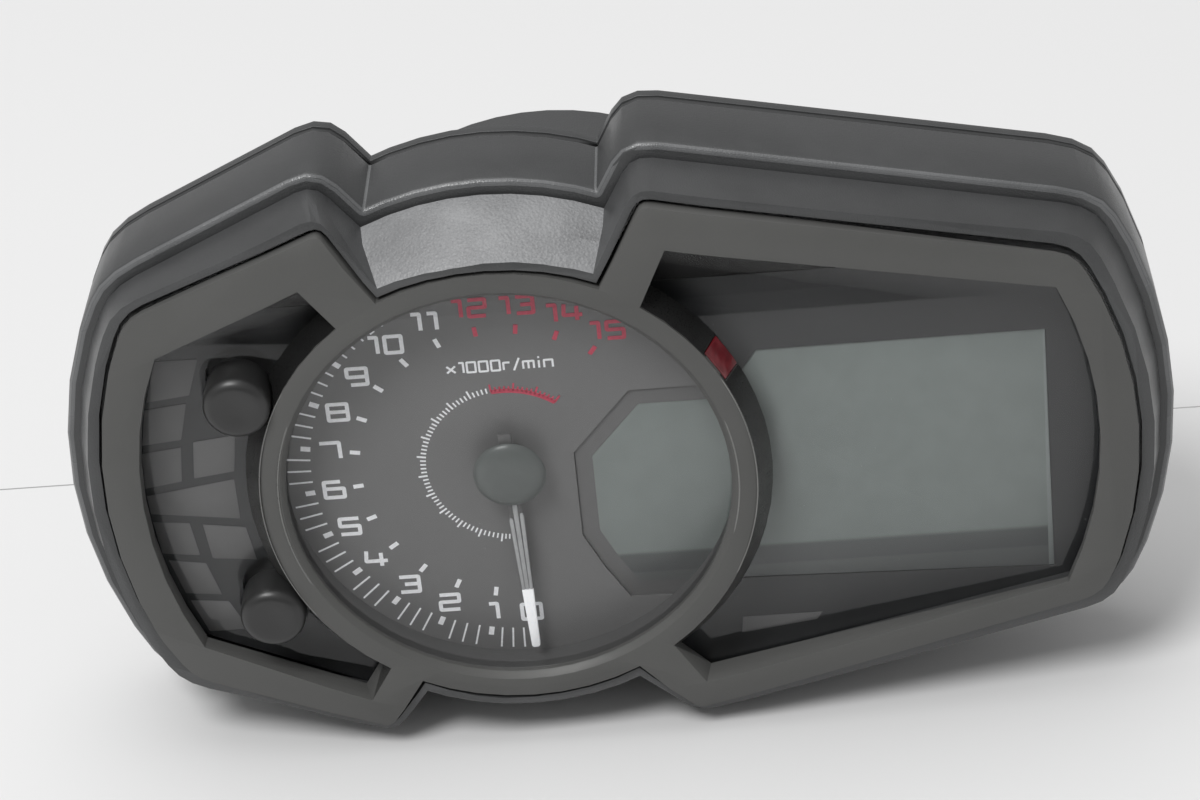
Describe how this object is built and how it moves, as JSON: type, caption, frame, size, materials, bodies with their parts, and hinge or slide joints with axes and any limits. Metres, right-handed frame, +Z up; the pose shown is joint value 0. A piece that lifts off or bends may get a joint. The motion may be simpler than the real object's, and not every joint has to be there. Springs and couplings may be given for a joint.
{
  "type": "motorcycle instrument cluster",
  "caption": "Wing-shaped motorcycle dash unit with a round tachometer, a liquid crystal display, a warning lamp panel and two push buttons under one clear lens.",
  "frame": {"origin": "middle of the footprint, on the plane the lowest edge of the case stands on", "axes": "+X to the rider's right, +Y from the dial face into the dash, +Z up along the dial"},
  "size_m": [0.215, 0.0654, 0.1238],
  "materials": {
    "housing_plastic": "fine grained, dark grey",
    "bezel_satin": "satin dark grey paint over a moulded bezel",
    "clear_lens": "clear polycarbonate",
    "dial_print": "printed sheet, matte dark grey with white figures",
    "display_glass": "grey-green liquid crystal cell",
    "white_plastic": "white moulded, light guiding",
    "hub_cap": "smoked translucent cap",
    "button_plastic": "dark grey moulded cap",
    "dark_plastic": "dark moulded",
    "rubber": "matte black",
    "lamp_red": "transparent red lamp window",
    "circuit_board": "green solder resist",
    "steel": "zinc plated",
    "brass": "plated contacts"
  },
  "bodies": {
    "case": {"front_cover": "housing_plastic", "main_housing": "housing_plastic", "back_cover": "housing_plastic", "seal_gasket": "rubber", "bezel": "bezel_satin", "shift_lamp": "lamp_red", "clear_lens": "clear_lens", "dial_plate": "dial_print", "indicator_panel": "dial_print", "display_mask": "dial_print", "display_frame": "dial_print", "display_glass": "display_glass", "backlight_plate": "white_plastic", "circuit_board": "circuit_board", "main_chip": "dark_plastic", "indicator_light_box": "white_plastic", "indicator_led_1": "white_plastic", "indicator_led_2": "white_plastic", "indicator_led_3": "white_plastic", "indicator_led_4": "white_plastic", "indicator_led_5": "white_plastic", "indicator_led_6": "white_plastic", "indicator_led_7": "white_plastic", "indicator_led_8": "white_plastic", "indicator_led_9": "white_plastic", "stepping_motor": "dark_plastic", "upper_button_boot": "rubber", "upper_switch": "dark_plastic", "lower_button_boot": "rubber", "lower_switch": "dark_plastic", "connector_shell": "dark_plastic", "connector_pins": "brass", "board_screw_1": "steel", "board_screw_2": "steel", "board_screw_3": "steel", "board_screw_4": "steel", "case_screw_1": "steel", "case_screw_2": "steel", "case_screw_3": "steel", "case_screw_4": "steel", "case_screw_5": "steel", "case_screw_6": "steel", "case_screw_7": "steel", "case_screw_8": "steel", "mount_grommet_1": "rubber", "mount_sleeve_1": "steel", "mount_grommet_2": "rubber", "mount_sleeve_2": "steel", "mount_grommet_3": "rubber", "mount_sleeve_3": "steel", "breather_cap": "rubber"},
    "pointer": {"pointer_shaft": "steel", "pointer_needle": "white_plastic", "pointer_cap": "hub_cap"},
    "upper_key": {"upper_button": "button_plastic"},
    "lower_key": {"lower_button": "button_plastic"}
  },
  "joints": [
    {"name": "pointer_spin", "type": "hinge", "parent": "case", "child": "pointer", "pos_m": [-0.0208, -0.0203, 0.05998], "axis": [0, 1, 0], "range_deg": [0, 218]},
    {"name": "upper_press", "type": "slide", "parent": "case", "child": "upper_key", "axis": [0, 1, 0], "range_m": [0, 0.0015], "stiffness_N_per_m": 400},
    {"name": "lower_press", "type": "slide", "parent": "case", "child": "lower_key", "axis": [0, 1, 0], "range_m": [0, 0.0015], "stiffness_N_per_m": 400}
  ]
}
